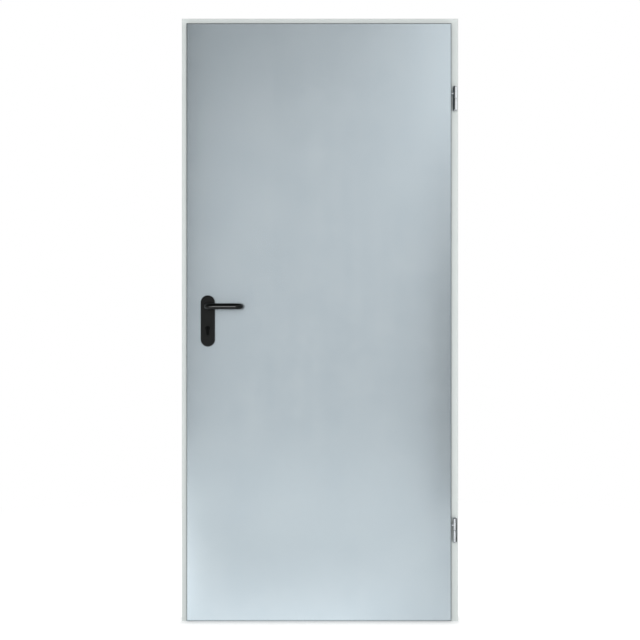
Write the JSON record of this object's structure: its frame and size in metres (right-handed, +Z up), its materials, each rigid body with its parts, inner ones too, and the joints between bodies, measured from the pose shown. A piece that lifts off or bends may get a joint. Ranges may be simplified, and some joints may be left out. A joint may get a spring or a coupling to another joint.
{
  "type": "steel utility door",
  "caption": "Rebated sheet-steel leaf in a folded steel corner frame, hung on barrel hinges, with black lever handles on long round-ended plates.",
  "frame": {"origin": "hinge-side edge of the wall opening, at floor level, on the flat flange that lies on the wall", "axes": "+Z up, +Y from the front of the door into the wall, +X from the handle side to the hinge side"},
  "size_m": [0.922, 0.198, 2.011],
  "materials": {
    "galvanised_sheet": "satin",
    "frame_coat": "satin",
    "zinc_plated_steel": "satin",
    "black_polyamide": "satin",
    "seal_rubber": "matte"
  },
  "bodies": {
    "frame": {"hinge_jamb": "frame_coat", "lock_jamb": "frame_coat", "frame_head": "frame_coat", "strike_box": "zinc_plated_steel", "anchor_hinge_side_low": "zinc_plated_steel", "anchor_hinge_side_middle": "zinc_plated_steel", "anchor_hinge_side_high": "zinc_plated_steel", "anchor_lock_side_low": "zinc_plated_steel", "anchor_lock_side_middle": "zinc_plated_steel", "anchor_lock_side_high": "zinc_plated_steel", "hinge_upper_frame_half": "zinc_plated_steel", "hinge_upper_pin": "zinc_plated_steel", "hinge_upper_backing": "zinc_plated_steel", "hinge_lower_frame_half": "zinc_plated_steel", "hinge_lower_pin": "zinc_plated_steel", "hinge_lower_backing": "zinc_plated_steel", "seal_hinge_side": "seal_rubber", "seal_lock_side": "seal_rubber", "seal_head": "seal_rubber"},
    "leaf": {"leaf_front_sheet": "galvanised_sheet", "leaf_rear_sheet": "galvanised_sheet", "hinge_upper_leaf_half": "zinc_plated_steel", "hinge_lower_leaf_half": "zinc_plated_steel", "lock_forend": "zinc_plated_steel", "lock_case": "zinc_plated_steel", "latch_bolt": "zinc_plated_steel", "dead_bolt": "zinc_plated_steel", "plate_front": "black_polyamide", "plate_rear": "black_polyamide", "key_insert": "black_polyamide"},
    "lever": {"lever_front": "black_polyamide", "lever_rear": "black_polyamide", "spindle": "zinc_plated_steel"}
  },
  "joints": [
    {"name": "leaf_swing", "type": "hinge", "parent": "frame", "child": "leaf", "pos_m": [-0.0008, -0.0245, 1], "axis": [0, 0, 1], "range_deg": [0, 170]},
    {"name": "lever_turn", "type": "hinge", "parent": "leaf", "child": "lever", "pos_m": [-0.822, -0.012, 1.05], "axis": [0, 1, 0], "range_deg": [0, 40], "stiffness_Nm_per_rad": 1.5, "springref_deg": -17.19}
  ]
}
